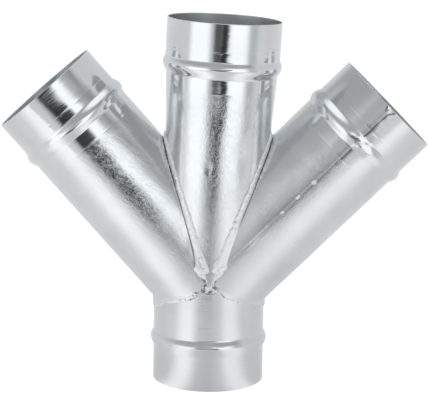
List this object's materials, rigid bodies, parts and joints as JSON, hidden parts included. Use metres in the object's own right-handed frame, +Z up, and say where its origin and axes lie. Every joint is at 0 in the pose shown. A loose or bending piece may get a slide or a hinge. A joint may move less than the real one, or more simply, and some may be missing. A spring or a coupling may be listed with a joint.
{
  "type": "four-way duct connector",
  "caption": "Welded sheet-metal connector that joins a straight duct and two slanted side branches into one outlet, with a rolled stop bead round each round end.",
  "frame": {"origin": "centre of the outlet's rim, on the plane that the connector stands on", "axes": "+Z up along the outlet's axis, +X towards the right branch as seen in the picture, +Y away from the camera"},
  "size_m": [0.3793, 0.107, 0.3288],
  "materials": {
    "outlet_sheet": "bright galvanised sheet, finely brushed round the tube",
    "centre_sheet": "bright galvanised sheet",
    "left_sheet": "bright galvanised sheet, scuffed",
    "right_sheet": "bright galvanised sheet, scuffed",
    "weld_metal": "lumpy weld metal under bright zinc paint"
  },
  "bodies": {
    "root": {"back_knot_weld": "weld_metal", "centre_tack_1": "weld_metal", "centre_tack_2": "weld_metal", "centre_tack_3": "weld_metal", "centre_tack_4": "weld_metal", "centre_tack_5": "weld_metal", "centre_tack_6": "weld_metal", "centre_tube": "centre_sheet", "front_knot_weld": "weld_metal", "left_neck_weld": "weld_metal", "left_outlet_weld": "weld_metal", "left_tack_1": "weld_metal", "left_tack_2": "weld_metal", "left_tack_3": "weld_metal", "left_tack_4": "weld_metal", "left_tack_5": "weld_metal", "left_tack_6": "weld_metal", "left_tube": "left_sheet", "outlet_tack_1": "weld_metal", "outlet_tube": "outlet_sheet", "right_neck_weld": "weld_metal", "right_outlet_weld": "weld_metal", "right_tack_1": "weld_metal", "right_tack_2": "weld_metal", "right_tack_3": "weld_metal", "right_tack_4": "weld_metal", "right_tack_5": "weld_metal", "right_tack_6": "weld_metal", "right_tube": "right_sheet"}
  },
  "joints": []
}
